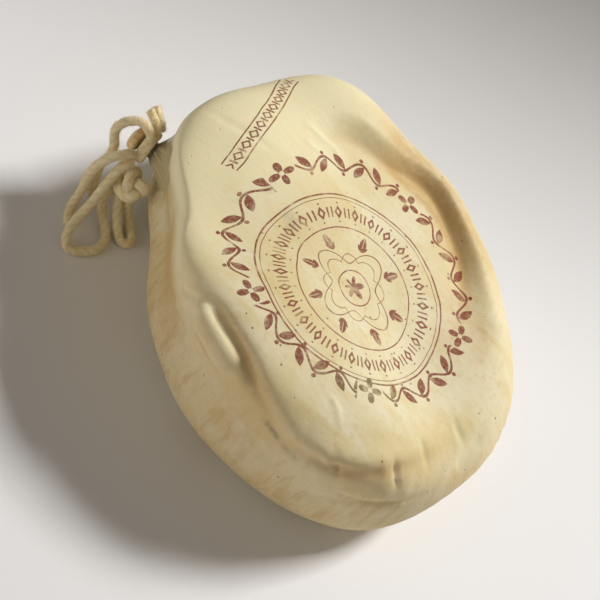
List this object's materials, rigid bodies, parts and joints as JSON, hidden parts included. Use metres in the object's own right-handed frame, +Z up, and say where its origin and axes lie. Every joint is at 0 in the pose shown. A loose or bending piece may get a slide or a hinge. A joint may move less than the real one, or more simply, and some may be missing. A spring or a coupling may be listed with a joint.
{
  "type": "whole pit-aged cheese in a tight casing, tied with string",
  "caption": "Oval loaf of pale pressed cheese in a tight waxy casing, its top face sunken inside a raised lip, with a gathered neck tied off with looped cotton string.",
  "frame": {"origin": "on the flat base, under the middle of the loaf's plan", "axes": "+Z up from the surface it rests on; +X along the loaf, away from the tied neck; -Y is the loaf's near side"},
  "size_m": [0.1922, 0.1535, 0.073],
  "materials": {
    "waxy_casing": "satin",
    "gathered_film": "satin",
    "cotton_string": "matte"
  },
  "bodies": {
    "root": {"cheese": "waxy_casing", "casing_neck": "gathered_film", "string_tie": "cotton_string", "string_knot": "cotton_string", "string_end_left": "cotton_string", "string_end_right": "cotton_string", "string_loop_high": "cotton_string", "string_loop_wide": "cotton_string", "string_loop_low": "cotton_string", "string_loop_near": "cotton_string"}
  },
  "joints": []
}
